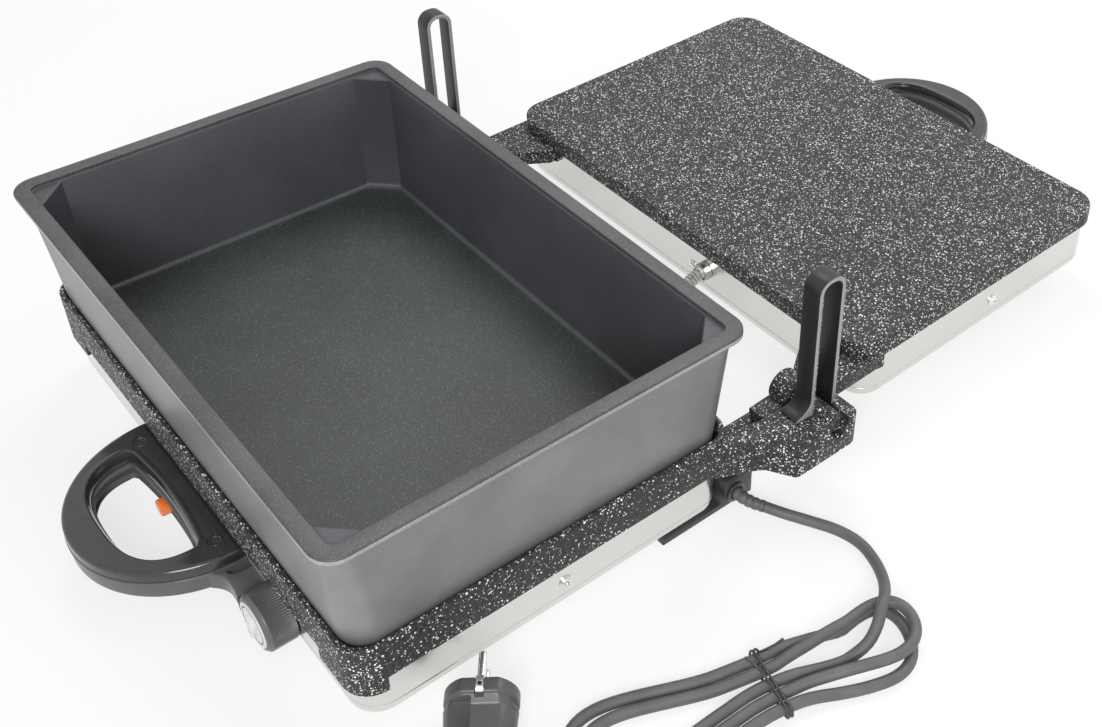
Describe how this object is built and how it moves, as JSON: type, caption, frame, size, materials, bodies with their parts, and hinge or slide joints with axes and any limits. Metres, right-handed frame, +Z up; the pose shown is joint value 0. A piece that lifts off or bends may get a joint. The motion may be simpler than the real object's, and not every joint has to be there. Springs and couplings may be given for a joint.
{
  "type": "electric table grill",
  "caption": "Two-plate electric table grill lying open: speckled cast plates, a deep loose pan on the lower one, D handles, a side knob, slotted hinge uprights and a hanked mains lead",
  "frame": {"origin": "on the table, below the middle of the lower half's tray", "axes": "+X along the hinge towards the side with the mains lead, +Y from the front handle towards the open lid, +Z up"},
  "size_m": [0.6042, 0.7937, 0.1676],
  "materials": {
    "speckled_casting": "cast aluminium with a dark coating flecked with white",
    "bright_steel": "polished sheet steel",
    "pan_coating": "cast aluminium with a dark satin non-stick coating",
    "gloss_black": "glossy black moulding",
    "satin_black": "satin black moulding",
    "black_steel": "steel strip painted satin black",
    "rubber_foot": "black rubber",
    "cord_rubber": "dark grey rubber sheath",
    "lamp_orange": "clear orange lens",
    "plain_steel": "plain bright metal",
    "heater_steel": "dark steel heater sheath",
    "cream_plastic": "pale heat-proof moulding"
  },
  "bodies": {
    "base": {"cable_box": "satin_black", "cable_box_cover": "satin_black", "cable_gland": "gloss_black", "conduit_ferrule_lower": "plain_steel", "cord_hank": "cord_rubber", "cord_strain_relief": "cord_rubber", "cord_tail": "cord_rubber", "cord_tie": "satin_black", "front_foot_left": "rubber_foot", "front_foot_right": "rubber_foot", "front_handle_base": "gloss_black", "front_handle_cover": "gloss_black", "front_handle_screw_left": "satin_black", "front_handle_screw_right": "satin_black", "lamp_lens": "lamp_orange", "lower_shell": "bright_steel", "plug_body": "satin_black", "plug_earth_clip_left": "plain_steel", "plug_earth_clip_right": "plain_steel", "plug_pin_lower": "plain_steel", "plug_pin_upper": "plain_steel", "power_cord": "cord_rubber", "rear_foot_left": "satin_black", "shell_screw_left": "bright_steel", "shell_screw_rear": "bright_steel", "shell_screw_right": "bright_steel", "terminal_block": "cream_plastic", "thermostat": "cream_plastic", "thermostat_wire": "cream_plastic", "tray_heater": "heater_steel", "tray_plate": "speckled_casting", "tray_reflector": "plain_steel", "upright_left": "black_steel", "upright_right": "black_steel", "wire_conduit": "plain_steel"},
    "knob": {"thermostat_knob": "satin_black", "knob_face_disc": "plain_steel", "thermostat_shaft": "plain_steel"},
    "pan": {"deep_pan": "pan_coating"},
    "hinge_carriage": {"hinge_pin_left": "speckled_casting", "hinge_pin_right": "speckled_casting"},
    "lid": {"lid_handle_base": "gloss_black", "lid_handle_cover": "gloss_black", "lid_handle_screw_left": "satin_black", "lid_handle_screw_right": "satin_black", "lid_heater": "heater_steel", "lid_plate": "speckled_casting", "lid_reflector": "plain_steel", "lid_shell": "bright_steel", "lid_shell_screw_left": "bright_steel", "lid_shell_screw_rear": "bright_steel", "lid_shell_screw_right": "bright_steel", "conduit_ferrule_lid": "plain_steel"}
  },
  "joints": [
    {"name": "lid_rise", "type": "slide", "parent": "base", "child": "hinge_carriage", "axis": [0, 0, 1], "range_m": [0, 0.0966]},
    {"name": "lid_hinge", "type": "hinge", "parent": "hinge_carriage", "child": "lid", "pos_m": [0, 0.191, 0.06], "axis": [1, 0, 0], "range_deg": [0, 178], "deforming": ["wire_conduit"]},
    {"name": "pan_lift", "type": "slide", "parent": "base", "child": "pan", "axis": [0, 0, 1], "range_m": [0, 0.0065]},
    {"name": "knob_turn", "type": "hinge", "parent": "base", "child": "knob", "pos_m": [0.1112, -0.14, 0.0212], "axis": [0, 1, 0], "range_deg": [0, 270]}
  ],
  "couplings": [
    {"joint": "lid_rise", "follows": "lid_hinge", "m_per_rad": 0.03106}
  ]
}
